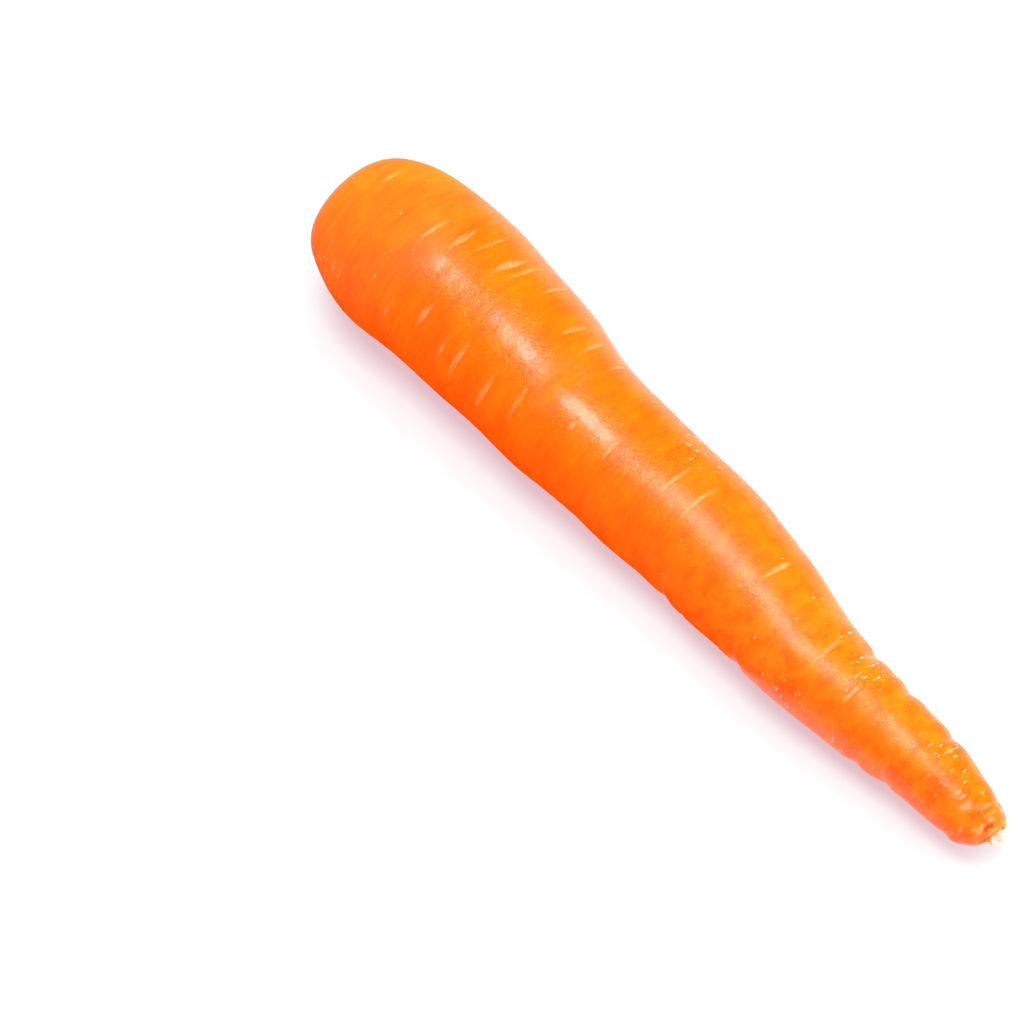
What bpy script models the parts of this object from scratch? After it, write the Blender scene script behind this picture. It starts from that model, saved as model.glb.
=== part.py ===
"""A whole fresh carrot with its leaves trimmed off, lying on its side.

Two pieces make it: the taproot, which grew as one body, and the ring of cut leaf-stalk bases that
sits in the hollow of its crown. The root runs along +X from crown to tip and rests on z = 0.
"""
import math
import random

import bmesh
import bpy
import numpy as np

MM = 0.001

# Driving dimensions, in millimetres. "Along" is the distance from the crown's rim towards the tip.
LENGTH = 204.0
GREATEST_RADIUS = 19.7
WIDEST_ALONG = 22.0
SIDEWAYS_OVAL = 0.018
SHOULDER_POWER = 2.1

# Radius of the tapering body, from the widest place to where the tip rounds off.
TAPER = (
    (WIDEST_ALONG, GREATEST_RADIUS),
    (40.0, 18.8),
    (62.0, 17.6),
    (80.0, 15.8),
    (98.0, 15.3),
    (118.0, 14.6),
    (152.0, 11.5),
    (175.0, 9.2),
    (200.0, 6.2),
)
TIP_START = 196.5
TIP_FACE_RADIUS = 3.2
TIP_FACE = ((LENGTH + 0.1, 0.72 * TIP_FACE_RADIUS), (LENGTH, 0.36 * TIP_FACE_RADIUS))
TIP_SLANT = 0.23
TIP_LONG_SIDE = math.radians(20.0)
TIP_SLIT_DEPTH = 1.3
TIP_SLIT_HALF_WIDTH = 0.9

# Sideways wander of the centre line.
BEND = (
    (0.0, -1.9),
    (24.0, -0.2),
    (48.0, 0.9),
    (77.0, -0.3),
    (98.0, 0.6),
    (116.0, 1.4),
    (157.0, -0.7),
    (183.0, 0.9),
    (LENGTH, 0.4),
)
AXIS_SLOPE = 0.053
FLAT_DEPTH = 0.8

# Crown: a shallow hollow round a low boss, inside the rim of the shoulder.
RIM_RADIUS = 10.0
HOLLOW_DEPTH = 2.4
BOSS_RADIUS = 3.2

# (Along, radius) outward from the middle of the boss: its top, the hollow's floor, and the wall
# up to the rim.
CROWN_OUTLINE = (
    (0.9, 1.6),
    (1.2, 2.7),
    (HOLLOW_DEPTH, BOSS_RADIUS),
    (HOLLOW_DEPTH, 8.2),
    (0.7, 8.6),
    (0.1, 9.3),
)
RIM_STEPS = (0.0, 0.25, 0.7)
TIP_STEPS = (4.5, 2.8, 1.4, 0.5, 0.0)

# Four rows of side-root scars wind along the root. Each is (along, degrees round the root).
ROW_LINES = (
    ((0.0, 80.0), (30.0, 86.0), (42.0, 68.0), (60.0, 58.0), (90.0, 40.0), (130.0, 30.0), (LENGTH, 25.0)),
    ((0.0, 160.0), (20.0, 158.0), (45.0, 143.0), (65.0, 140.0), (80.0, 115.0), (106.0, 91.0),
     (135.0, 80.0), (155.0, 95.0), (165.0, 104.0), (187.0, 76.0), (LENGTH, 74.0)),
    ((0.0, 262.0), (40.0, 258.0), (120.0, 200.0), (LENGTH, 196.0)),
    ((0.0, 338.0), (40.0, 330.0), (120.0, 275.0), (LENGTH, 268.0)),
)

# Scars of the two upper rows: (along, degrees round the root, length across).
UPPER_SCARS = (
    (6.1, 76.0, 4.0), (9.8, 82.0, 6.0), (26.7, 92.5, 8.7), (32.4, 82.0, 9.4),
    (36.7, 66.0, 11.0), (43.2, 69.0, 12.0), (46.4, 62.5, 11.5), (53.0, 51.0, 12.0),
    (63.9, 62.5, 8.4), (69.0, 57.0, 11.0), (75.4, 46.0, 9.5), (86.6, 40.5, 6.8),
    (13.2, 161.0, 6.2), (15.6, 160.0, 7.2), (30.2, 156.5, 7.5), (38.4, 138.0, 7.8),
    (46.3, 148.0, 8.3), (50.8, 145.0, 11.0), (60.1, 149.0, 11.5), (68.0, 134.0, 9.7),
    (80.7, 116.0, 4.5), (90.4, 110.5, 5.1), (105.1, 91.5, 8.9), (111.9, 93.5, 10.4),
    (134.0, 77.5, 9.6), (154.0, 92.0, 10.6), (163.8, 107.0, 6.1), (185.8, 65.0, 4.0),
)

# Scars of the two lower rows are drawn from a seed. They are closer and longer near the crown.
LOWER_ROWS = (2, 3)
FIRST_SCAR = 9.0
LAST_SCAR = 192.0
CROWN_PITCH = 6.4
TIP_PITCH = 22.0
PITCH_POWER = 1.3
CROWN_SCAR_LENGTH = 8.5
TIP_SCAR_LENGTH = 4.5
SCAR_SPREAD = (0.6, 1.4)
SCAR_STRAY = math.radians(3.5)
SCAR_SEED = 11

SCAR_DEPTH = 0.9
DEPTH_SPREAD = (0.6, 1.1)
DEPTH_SEED = 12

# Ring creases of the lower half, each part of the way round, with soft bulges beside it:
# (along, degrees of its deepest side, depth, degrees it spreads to each side).
CREASES = (
    (116.8, 200.0, 0.35, 45.0), (130.0, 310.0, 0.4, 62.0), (139.0, 201.0, 0.45, 45.0),
    (149.0, 290.0, 0.45, 62.0), (159.5, 34.0, 0.6, 36.0), (170.5, 34.0, 0.5, 34.0),
    (172.0, 208.0, 0.35, 40.0), (177.0, 290.0, 0.4, 62.0), (179.5, 196.0, 0.5, 38.0),
    (183.5, 34.0, 0.45, 34.0), (195.0, 300.0, 0.35, 62.0),
)
CREASE_HALF_WIDTH = 2.4
CREASE_BULGE = 1.2
CREASE_LEAN = 1.2
CREASE_SEED = 5

# Scars, creases and lumps fade in over this much of the shoulder.
SKIN_START = 5.0

# Broad lumps that keep the body from being a turned shape.
LUMP_HEIGHT = 0.16
LUMP_COUNT = 7
LUMP_WAVES = (22.0, 80.0)
LUMP_SEED = 3

# Mesh: rings along the root, and lengthwise lines that are closest over the rows of scars.
RING_STEP = 1.5
CLOSE_STEP = math.radians(6.0)
CLOSE_LINES = 3
WIDE_STEP = math.radians(18.0)

# Cut leaf-stalk bases: a thin ring that carries three rows of upright crescents.
GAP = 0.3
STUB_BASE_THICKNESS = 0.8
STUB_INNER_RADIUS = 3.7
STUB_OUTER_RADIUS = 7.7
STUB_THICKNESS = 0.75
STUB_SUNK = 0.35
STUB_ROWS = ((7.15, 3, 1.9), (5.95, 3, 1.5), (4.75, 2, 1.2))
STUB_FILL = 0.86
STUB_TOP_UNEVEN = 0.3
STUB_END_THINNING = 0.15
STUB_HEIGHT_SPREAD = (0.85, 1.0)
STUB_TRIM = 0.2
STUB_LEAN = 0.15
STUB_STEPS = 9
BASE_STEPS = 36
STUB_SEED = 8


def ease(value):
    """Go smoothly from 0 to 1 as the value does, and stay level outside that range."""
    t = np.clip(value, 0.0, 1.0)
    return t * t * (3.0 - 2.0 * t)


def smooth_curve(points, where):
    """Read a smooth curve through a few (place, value) points."""
    places = np.array([place for place, _ in points])
    values = np.array([value for _, value in points])
    slopes = np.gradient(values, places)
    part = np.clip(np.searchsorted(places, where) - 1, 0, len(places) - 2)
    span = places[part + 1] - places[part]
    t = np.clip((where - places[part]) / span, 0.0, 1.0)
    rise = ease(t)
    start_bulge = t * (1.0 - t) ** 2 * slopes[part] * span
    end_bulge = t**2 * (1.0 - t) * slopes[part + 1] * span
    return values[part] * (1.0 - rise) + values[part + 1] * rise + start_bulge - end_bulge


def body_radius(along):
    """Radius of the plain root, with its round shoulder and its rounded tip."""
    to_widest = np.clip(1.0 - along / WIDEST_ALONG, 0.0, 1.0)
    fullness = (1.0 - to_widest**SHOULDER_POWER) ** (1.0 / SHOULDER_POWER)
    shoulder = RIM_RADIUS + (GREATEST_RADIUS - RIM_RADIUS) * fullness
    taper = smooth_curve(TAPER, np.clip(along, WIDEST_ALONG, TAPER[-1][0]))
    into_tip = np.clip((along - TIP_START) / (LENGTH - TIP_START), 0.0, 1.0)
    rounding = 1.0 - np.sqrt(1.0 - into_tip**2)
    tip = taper - (taper - TIP_FACE_RADIUS) * rounding
    return np.where(along < WIDEST_ALONG, shoulder, tip)


def centre_line(along):
    """Sideways place and height of the root's middle. Its axis dips towards the tip."""
    sideways = smooth_curve(BEND, along)
    height = GREATEST_RADIUS - FLAT_DEPTH - AXIS_SLOPE * (along - WIDEST_ALONG)
    return sideways, height


def row_angle(row, along):
    """Angle of a row of scars, which winds a little round the root."""
    return np.radians(smooth_curve(ROW_LINES[row], along))


def angle_between(first, second):
    """Difference of two angles, between minus half a turn and half a turn."""
    return (first - second + math.pi) % (2.0 * math.pi) - math.pi


def scar_places():
    """Along, angle and length of each scar."""
    scars = [(along, math.radians(degrees), length) for along, degrees, length in UPPER_SCARS]
    chance = random.Random(SCAR_SEED)
    for row in LOWER_ROWS:
        along = FIRST_SCAR + chance.uniform(0.0, CROWN_PITCH)
        while along < LAST_SCAR:
            down = along / LENGTH
            length = CROWN_SCAR_LENGTH + (TIP_SCAR_LENGTH - CROWN_SCAR_LENGTH) * down
            length *= chance.uniform(*SCAR_SPREAD)
            angle = float(row_angle(row, along)) + chance.gauss(0.0, SCAR_STRAY)
            scars.append((along, angle, length))
            pitch = CROWN_PITCH + (TIP_PITCH - CROWN_PITCH) * down**PITCH_POWER
            along += pitch * chance.uniform(*SCAR_SPREAD)
    return scars


def scar_relief(along, angle, radius):
    """Depth of the scars: short lens-shaped dents that lie across the root, each on its nearest ring."""
    chance = random.Random(DEPTH_SEED)
    dent = np.zeros_like(along)
    for place, scar_angle, length in scar_places():
        depth = SCAR_DEPTH * chance.uniform(*DEPTH_SPREAD)
        on_ring = RING_STEP * round(place / RING_STEP)
        lengthwise = np.clip(1.0 - np.abs(along - on_ring) / RING_STEP, 0.0, 1.0)
        sideways = angle_between(angle, scar_angle) * radius / (0.5 * length)
        across = np.clip(1.0 - sideways**2, 0.0, 1.0)
        dent = np.maximum(dent, depth * lengthwise * across)
    return dent


def crease_relief(along, angle):
    """Depth of the ring creases. The sides of each one bulge a little."""
    chance = random.Random(CREASE_SEED)
    dent = np.zeros_like(along)
    for place, degrees, depth, spread in CREASES:
        away = angle_between(angle, math.radians(degrees))
        lean = chance.uniform(-CREASE_LEAN, CREASE_LEAN)
        distance = (along - place - lean * away) / CREASE_HALF_WIDTH
        reach = np.exp(-((away / math.radians(spread)) ** 2))
        dent += depth * reach * (1.0 - CREASE_BULGE * distance**2) * np.exp(-(distance**2))
    return dent


def lump_relief(along, angle):
    """Height of the broad lumps: a few long waves that run along and round the root."""
    chance = random.Random(LUMP_SEED)
    height = np.zeros_like(along)
    for _ in range(LUMP_COUNT):
        wave = 2.0 * math.pi / chance.uniform(*LUMP_WAVES)
        lobes = chance.choice((1, 2, 3))
        phase = chance.uniform(0.0, 2.0 * math.pi)
        height += LUMP_HEIGHT * np.sin(wave * along + lobes * angle + phase) / lobes
    return height


def line_angles(along):
    """Angles of the lengthwise mesh lines on each ring, six degrees apart over each row of scars."""
    rows = len(ROW_LINES)
    row_angles = [row_angle(row, along) for row in range(rows)]
    row_angles.append(row_angles[0] + 2.0 * math.pi)
    half_close = CLOSE_LINES * CLOSE_STEP
    lines = []
    for row in range(rows):
        for step in range(-CLOSE_LINES, CLOSE_LINES + 1):
            lines.append(row_angles[row] + step * CLOSE_STEP)
        room = row_angles[row + 1] - row_angles[row] - 2.0 * half_close
        spaces = round(float(room.mean()) / WIDE_STEP)
        for step in range(1, spaces):
            lines.append(row_angles[row] + half_close + room * step / spaces)
    return np.stack(lines, axis=1)


def body_rings():
    """(Along, radius) of the rings from the rim to the edge of the tip's face."""
    steps = int(TIP_START / RING_STEP)
    body = [RING_STEP * step for step in range(1, steps + 1)]
    tip = [LENGTH - before_end for before_end in TIP_STEPS]
    places = np.array([*RIM_STEPS, *body, *tip])
    return list(zip(places, body_radius(places)))


def root_points():
    """Points of every ring, in millimetres, as an array of rings by lines by three."""
    body = body_rings()
    rings = np.array([*CROWN_OUTLINE, *body, *TIP_FACE])
    body_start = len(CROWN_OUTLINE)
    face_start = body_start + len(body)
    angle = line_angles(np.clip(rings[:, 0], 0.0, LENGTH))
    along = np.repeat(rings[:, :1], angle.shape[1], axis=1)
    radius = np.repeat(rings[:, 1:], angle.shape[1], axis=1)

    on_skin = ease(along / SKIN_START)
    on_skin[:body_start] = 0.0
    on_skin[face_start:] = 0.0
    relief = lump_relief(along, angle) - crease_relief(along, angle)
    relief -= scar_relief(along, angle, radius)
    outward = radius + on_skin * relief

    centre_along = along.copy()
    centre_along[:body_start] = 0.0
    sideways, height = centre_line(centre_along)
    across = outward * np.cos(angle)
    upward = outward * np.sin(angle)
    slant = TIP_SLANT * ease((along - TIP_START) / (LENGTH - TIP_START))
    x = along - slant * outward * (1.0 - np.cos(angle - TIP_LONG_SIDE))
    x[face_start:] -= TIP_SLIT_DEPTH * np.exp(-((upward[face_start:] / TIP_SLIT_HALF_WIDTH) ** 2))
    y = sideways + across * (1.0 + SIDEWAYS_OVAL)
    z = np.maximum(height + upward * (1.0 - SIDEWAYS_OVAL), 0.0)
    return np.stack([x, y, z], axis=-1)


def closed_tube(name, rings, start, end):
    """Join rings of points into one closed body, with a fan of triangles at each end."""
    shape = bmesh.new()
    loops = [[shape.verts.new(point * MM) for point in ring] for ring in rings]
    count = len(loops[0])
    first = shape.verts.new(start * MM)
    last = shape.verts.new(end * MM)
    for index in range(count):
        after = (index + 1) % count
        shape.faces.new((first, loops[0][after], loops[0][index]))
        shape.faces.new((last, loops[-1][index], loops[-1][after]))
        for near, far in zip(loops, loops[1:]):
            shape.faces.new((near[index], near[after], far[after], far[index]))
    bmesh.ops.recalc_face_normals(shape, faces=shape.faces)
    return finished_object(name, shape)


def finished_object(name, shape):
    """Turn a bmesh into an object in the scene, with smooth shading."""
    mesh = bpy.data.meshes.new(name)
    shape.to_mesh(mesh)
    shape.free()
    mesh.shade_smooth()
    mesh.set_sharp_from_angle(angle=math.radians(40.0))
    piece = bpy.data.objects.new(name, mesh)
    bpy.context.scene.collection.objects.link(piece)
    return piece


def make_root():
    """The taproot: one closed body from the boss of the crown to the blunt tip."""
    rings = root_points()
    start = rings[0].mean(axis=0)
    end = rings[-1].mean(axis=0)
    return closed_tube("carrot_root", rings, start, end)


def crescent(name, radius, middle, half_angle, bottom, top, lean):
    """An upright curved strip, a piece of a leaf-stalk's base, thinner at its two ends."""
    shape = bmesh.new()
    sections = []
    for step in range(STUB_STEPS + 1):
        across = 2.0 * step / STUB_STEPS - 1.0
        angle = middle + half_angle * across
        thickness = STUB_THICKNESS * (1.0 - STUB_END_THINNING * across**2)
        upper = top - STUB_TOP_UNEVEN * across**2 + lean * across
        section = []
        for reach, level in ((-0.5, bottom), (0.5, bottom), (0.5, upper), (-0.5, upper)):
            out = radius + reach * thickness
            point = (-level * MM, out * math.cos(angle) * MM, out * math.sin(angle) * MM)
            section.append(shape.verts.new(point))
        sections.append(section)
    for near, far in zip(sections, sections[1:]):
        for side in range(4):
            after = (side + 1) % 4
            shape.faces.new((near[side], near[after], far[after], far[side]))
    shape.faces.new(sections[0])
    shape.faces.new(list(reversed(sections[-1])))
    bmesh.ops.triangulate(shape, faces=shape.faces)
    bmesh.ops.recalc_face_normals(shape, faces=shape.faces)
    return finished_object(name, shape)


def stub_base():
    """The flat ring that the crescents stand on. Heights are measured out of the crown."""
    bottom = -HOLLOW_DEPTH + GAP
    top = bottom + STUB_BASE_THICKNESS
    corners = (
        (STUB_INNER_RADIUS, bottom),
        (STUB_OUTER_RADIUS, bottom),
        (STUB_OUTER_RADIUS, top),
        (STUB_INNER_RADIUS, top),
    )
    shape = bmesh.new()
    sections = []
    for step in range(BASE_STEPS):
        angle = 2.0 * math.pi * step / BASE_STEPS
        section = []
        for radius, level in corners:
            point = (-level * MM, radius * math.cos(angle) * MM, radius * math.sin(angle) * MM)
            section.append(shape.verts.new(point))
        sections.append(section)
    for index, near in enumerate(sections):
        far = sections[(index + 1) % BASE_STEPS]
        for side in range(4):
            after = (side + 1) % 4
            shape.faces.new((near[side], near[after], far[after], far[side]))
    bmesh.ops.recalc_face_normals(shape, faces=shape.faces)
    return finished_object("leaf_stalk_stubs", shape), top


def make_stubs():
    """The cut leaf-stalk bases, joined to their ring by one Boolean union."""
    chance = random.Random(STUB_SEED)
    base, base_top = stub_base()
    parts = bpy.data.collections.new("stub_parts")
    bpy.context.scene.collection.children.link(parts)
    for row, (radius, count, height) in enumerate(STUB_ROWS):
        half_angle = math.pi / count * STUB_FILL
        first = chance.uniform(0.0, 2.0 * math.pi)
        for index in range(count):
            middle = first + 2.0 * math.pi * index / count
            top = base_top + height * chance.uniform(*STUB_HEIGHT_SPREAD) - STUB_TRIM
            lean = chance.uniform(-STUB_LEAN, STUB_LEAN)
            name = f"crescent_{row}_{index}"
            piece = crescent(name, radius, middle, half_angle, base_top - STUB_SUNK, top, lean)
            bpy.context.scene.collection.objects.unlink(piece)
            parts.objects.link(piece)

    union = base.modifiers.new("join the crescents", "BOOLEAN")
    union.operation = "UNION"
    union.operand_type = "COLLECTION"
    union.collection = parts
    union.solver = "EXACT"
    graph = bpy.context.evaluated_depsgraph_get()
    joined = bpy.data.meshes.new_from_object(base.evaluated_get(graph))
    base.modifiers.clear()
    base.data = joined
    for piece in list(parts.objects):
        bpy.data.objects.remove(piece, do_unlink=True)
    bpy.data.collections.remove(parts)
    return base


def give_material(piece, name, colour, roughness):
    """Give a piece its own material."""
    material = bpy.data.materials.new(name)
    material.use_nodes = True
    shader = material.node_tree.nodes["Principled BSDF"]
    shader.inputs["Base Color"].default_value = (*colour, 1.0)
    shader.inputs["Roughness"].default_value = roughness
    shader.inputs["Metallic"].default_value = 0.0
    piece.data.materials.clear()
    piece.data.materials.append(material)


def centre_over_origin(pieces):
    """Shift the pieces sideways, so that the box round them stands on the origin."""
    corners = np.array([vertex.co for piece in pieces for vertex in piece.data.vertices])
    middle = 0.5 * (corners.min(axis=0) + corners.max(axis=0))
    for piece in pieces:
        for vertex in piece.data.vertices:
            vertex.co.x -= middle[0]
            vertex.co.y -= middle[1]


def main():
    for old in list(bpy.data.objects):
        bpy.data.objects.remove(old, do_unlink=True)
    root = make_root()
    stubs = make_stubs()
    sideways, height = centre_line(np.array([0.0]))
    for vertex in stubs.data.vertices:
        vertex.co.y += sideways[0] * MM
        vertex.co.z += height[0] * MM
    centre_over_origin([root, stubs])
    give_material(root, "carrot_skin", (0.89, 0.22, 0.01), 0.35)
    give_material(stubs, "cut_stalk", (0.35, 0.26, 0.13), 0.8)


main()
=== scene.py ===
# %% [markdown]
# # A fresh carrot, lying on its side
#
# This lesson dresses a plain solid of a carrot until it looks like the real thing. The solid comes from
# an earlier step and gives the size, the place and the main form. Here its two pieces, the root and the
# ring of cut leaf stalks, are replaced by finer ones that keep that form.
#
# The order is: read the frame, set up the camera, build the root's skin as one fine mesh, build the
# crown's small dry pieces and the frayed tip, make the materials, and light the scene.

# %% Load the frame
import math
import random

import bmesh
import bpy
import numpy as np
from mathutils import Matrix, Vector


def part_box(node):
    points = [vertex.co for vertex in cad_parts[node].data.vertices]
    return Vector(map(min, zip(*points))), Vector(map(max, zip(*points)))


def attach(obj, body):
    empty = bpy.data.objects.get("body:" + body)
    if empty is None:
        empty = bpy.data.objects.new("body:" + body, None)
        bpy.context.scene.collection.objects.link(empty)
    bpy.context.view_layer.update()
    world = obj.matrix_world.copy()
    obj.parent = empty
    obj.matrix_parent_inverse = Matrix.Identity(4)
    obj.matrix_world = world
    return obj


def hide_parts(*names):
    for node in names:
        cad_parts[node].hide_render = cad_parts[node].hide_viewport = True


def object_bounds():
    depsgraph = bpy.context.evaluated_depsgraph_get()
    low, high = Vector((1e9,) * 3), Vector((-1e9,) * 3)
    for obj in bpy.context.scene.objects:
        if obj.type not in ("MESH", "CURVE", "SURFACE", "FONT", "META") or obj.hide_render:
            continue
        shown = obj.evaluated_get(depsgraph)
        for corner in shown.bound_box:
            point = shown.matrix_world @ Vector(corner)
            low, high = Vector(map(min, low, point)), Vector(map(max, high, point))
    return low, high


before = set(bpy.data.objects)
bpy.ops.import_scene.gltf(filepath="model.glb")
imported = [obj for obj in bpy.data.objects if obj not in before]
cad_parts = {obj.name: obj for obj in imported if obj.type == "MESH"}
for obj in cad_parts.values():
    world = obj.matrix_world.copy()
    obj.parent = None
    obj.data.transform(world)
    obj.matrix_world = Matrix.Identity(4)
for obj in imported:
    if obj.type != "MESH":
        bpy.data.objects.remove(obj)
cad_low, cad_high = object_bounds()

MM = 0.001
root_low, root_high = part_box("carrot_root")
stub_low, stub_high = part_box("leaf_stalk_stubs")
print("root", [round(v / MM, 1) for v in (*root_low, *root_high)], "mm")
print("stubs", [round(v / MM, 1) for v in (*stub_low, *stub_high)], "mm")

# %% [markdown]
# ## Camera
#
# The root is seen from above and from its tip end, so that it crosses the view from upper left to
# lower right. A long lens from three quarters of a metre keeps the crown from shrinking. The camera could
# be turned by hand until it looks right. Working it out from two angles and a distance is easier to check,
# and it stays right if the root is moved.

# %% Place the camera
VIEW_TURN = math.radians(44.0)
VIEW_HEIGHT = math.radians(60.0)
VIEW_DISTANCE = 0.75
LENS_MM = 122.0
AIM_LEFT = 0.0320
AIM_LOW = 0.0063

middle = 0.5 * (cad_low + cad_high)
back = Vector((
    math.sin(VIEW_TURN) * math.cos(VIEW_HEIGHT),
    -math.cos(VIEW_TURN) * math.cos(VIEW_HEIGHT),
    math.sin(VIEW_HEIGHT),
))
right = Vector((math.cos(VIEW_TURN), math.sin(VIEW_TURN), 0.0))
aim = middle - right * AIM_LEFT - back.cross(right) * AIM_LOW


def put_in_scene(name, data):
    """An object that holds the given mesh, light or camera."""
    piece = bpy.data.objects.new(name, data)
    bpy.context.scene.collection.objects.link(piece)
    return piece


camera = put_in_scene("camera", bpy.data.cameras.new("camera"))
bpy.context.scene.camera = camera
camera.data.lens = LENS_MM
camera.data.clip_start = 0.01
camera.location = middle + back * VIEW_DISTANCE
camera.rotation_euler = (aim - camera.location).to_track_quat("-Z", "Y").to_euler()
print("camera at", [round(v, 3) for v in camera.location])

# %% [markdown]
# ## Form of the root
#
# A carrot is a swollen root. Its shoulder is round, its body tapers, its tip is blunt where the thin end
# snapped off. Sculpting it is possible, but a carrot is nearly a turned shape, so a few radii along the
# root say it better. These are the driving sizes of the solid, so the fine skin keeps its form. Lengths are
# in millimetres, and "along" is the distance from the crown's rim towards the tip.

# %% Set the driving sizes
LENGTH = 204.0
GREATEST_RADIUS = 19.7
WIDEST_ALONG = 22.0
SIDEWAYS_OVAL = 0.018
SHOULDER_POWER = 2.1
RIM_RADIUS = 10.0
TAPER = (
    (WIDEST_ALONG, GREATEST_RADIUS),
    (40.0, 18.8),
    (62.0, 17.6),
    (80.0, 15.8),
    (98.0, 15.3),
    (118.0, 14.6),
    (152.0, 11.5),
    (175.0, 9.2),
    (200.0, 6.2),
)
BEND = (
    (0.0, -1.9),
    (24.0, -0.2),
    (48.0, 0.9),
    (77.0, -0.3),
    (98.0, 0.6),
    (116.0, 1.4),
    (157.0, -0.7),
    (183.0, 0.9),
    (LENGTH, 0.4),
)
AXIS_SLOPE = 0.053
FLAT_DEPTH = 0.8
TIP_START = 196.5
TIP_FACE_RADIUS = 3.2
TIP_SLANT = 0.23
TIP_LONG_SIDE = math.radians(20.0)


def ease(value):
    """Go smoothly from 0 to 1 as the value does, and stay level outside that range."""
    t = np.clip(value, 0.0, 1.0)
    return t * t * (3.0 - 2.0 * t)


def smooth_curve(points, where):
    """Read a smooth curve through a few (place, value) points."""
    places = np.array([place for place, _ in points])
    values = np.array([value for _, value in points])
    slopes = np.gradient(values, places)
    part = np.clip(np.searchsorted(places, where) - 1, 0, len(places) - 2)
    span = places[part + 1] - places[part]
    t = np.clip((where - places[part]) / span, 0.0, 1.0)
    rise = ease(t)
    start_bulge = t * (1.0 - t) ** 2 * slopes[part] * span
    end_bulge = t**2 * (1.0 - t) * slopes[part + 1] * span
    return values[part] * (1.0 - rise) + values[part + 1] * rise + start_bulge - end_bulge


def body_radius(along):
    """Radius of the plain root behind its widest place, with its rounded tip."""
    taper = smooth_curve(TAPER, np.clip(along, WIDEST_ALONG, TAPER[-1][0]))
    into_tip = np.clip((along - TIP_START) / (LENGTH - TIP_START), 0.0, 1.0)
    return taper - (taper - TIP_FACE_RADIUS) * (1.0 - np.sqrt(1.0 - into_tip**2))


def centre_line(along):
    """Sideways place and height of the root's middle. Its axis dips towards the tip."""
    sideways = smooth_curve(BEND, along)
    height = GREATEST_RADIUS - FLAT_DEPTH - AXIS_SLOPE * (along - WIDEST_ALONG)
    return sideways, height


print("root is", round((root_high.x - root_low.x) / MM, 1), "mm long")

# %% [markdown]
# ## Outline from crown to tip
#
# One line runs from the middle of the crown, over its low boss, through the hollow where the leaf stalks
# sat, over the rim, down the whole side and into the middle of the broken tip. Turned round the axis it
# makes the skin in one closed mesh, so there is no seam where skin meets crown. The points are closer than
# the finest scar is wide, because the scars are real dents in this mesh and not only a trick of shading.

# %% Lay out the outline
HOLLOW_DEPTH = 2.4
CROWN_OUTLINE = (
    (0.75, 0.0),
    (0.8, 1.0),
    (1.0, 2.2),
    (1.5, 2.95),
    (HOLLOW_DEPTH, 3.2),
    (HOLLOW_DEPTH + 0.05, 5.5),
    (HOLLOW_DEPTH, 8.1),
    (1.3, 8.45),
    (0.5, 8.7),
    (0.12, 9.2),
    (0.0, 9.7),
)
CROWN_STEP = 0.24
SKIN_STEP = 0.355
LINES_ROUND = 148


def even_steps(points, step):
    """Points at even steps on the line through the given ones, without its last point."""
    line = np.array(points)
    runs = np.linalg.norm(np.diff(line, axis=0), axis=1)
    reached = np.concatenate([[0.0], np.cumsum(runs)])
    count = max(2, round(reached[-1] / step))
    wanted = np.linspace(0.0, reached[-1], count, endpoint=False)
    return np.stack([np.interp(wanted, reached, line[:, side]) for side in range(2)], axis=1)


def shoulder_outline():
    """The round shoulder from the rim to the widest place."""
    turn = np.linspace(0.0, 0.5 * math.pi, 200)
    along = WIDEST_ALONG * (1.0 - np.cos(turn) ** (2.0 / SHOULDER_POWER))
    radius = RIM_RADIUS + (GREATEST_RADIUS - RIM_RADIUS) * np.sin(turn) ** (2.0 / SHOULDER_POWER)
    return np.stack([along, radius], axis=1)


def side_outline():
    """The side from the widest place to the middle of the broken tip."""
    turn = np.linspace(0.0, 1.0, 60)
    straight = np.linspace(WIDEST_ALONG, TIP_START, 400)
    rounding = TIP_START + (LENGTH - TIP_START) * np.sin(0.5 * math.pi * turn)
    along = np.concatenate([straight, rounding[1:]])
    radius = body_radius(along)
    face = np.array([(LENGTH + 0.1, 0.7 * TIP_FACE_RADIUS), (LENGTH, 0.04)])
    return np.concatenate([np.stack([along, radius], axis=1), face])


crown_part = even_steps(CROWN_OUTLINE, CROWN_STEP)[1:]
skin_part = np.concatenate([
    even_steps(shoulder_outline(), SKIN_STEP),
    even_steps(side_outline(), SKIN_STEP),
])
outline = np.concatenate([crown_part, skin_part])
face_start = int(np.argmax(outline[:, 0] >= LENGTH - 0.01))
print(len(outline), "rings,", 2 * len(outline) * LINES_ROUND, "triangles")

# %% [markdown]
# ## Scars of the side roots
#
# Fine side roots grow from a carrot in four rows. Washing snaps them off and leaves short scars that lie
# across the root: most are thin pale slits, some are open almonds. They stand close together near the crown
# and far apart near the tip, and the rows wind a little. A stencil could paint them. Here they stand where
# the solid has them, so each one is a dent with lips and has its own pale colour.

# %% Place the scars
ROW_LINES = (
    ((0.0, 80.0), (30.0, 86.0), (42.0, 68.0), (60.0, 58.0), (90.0, 40.0), (130.0, 30.0), (LENGTH, 25.0)),
    ((0.0, 160.0), (20.0, 158.0), (45.0, 143.0), (65.0, 140.0), (80.0, 115.0), (106.0, 91.0),
     (135.0, 80.0), (155.0, 95.0), (165.0, 104.0), (187.0, 76.0), (LENGTH, 74.0)),
    ((0.0, 262.0), (40.0, 258.0), (120.0, 200.0), (LENGTH, 196.0)),
    ((0.0, 338.0), (40.0, 330.0), (120.0, 275.0), (LENGTH, 268.0)),
)

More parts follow.
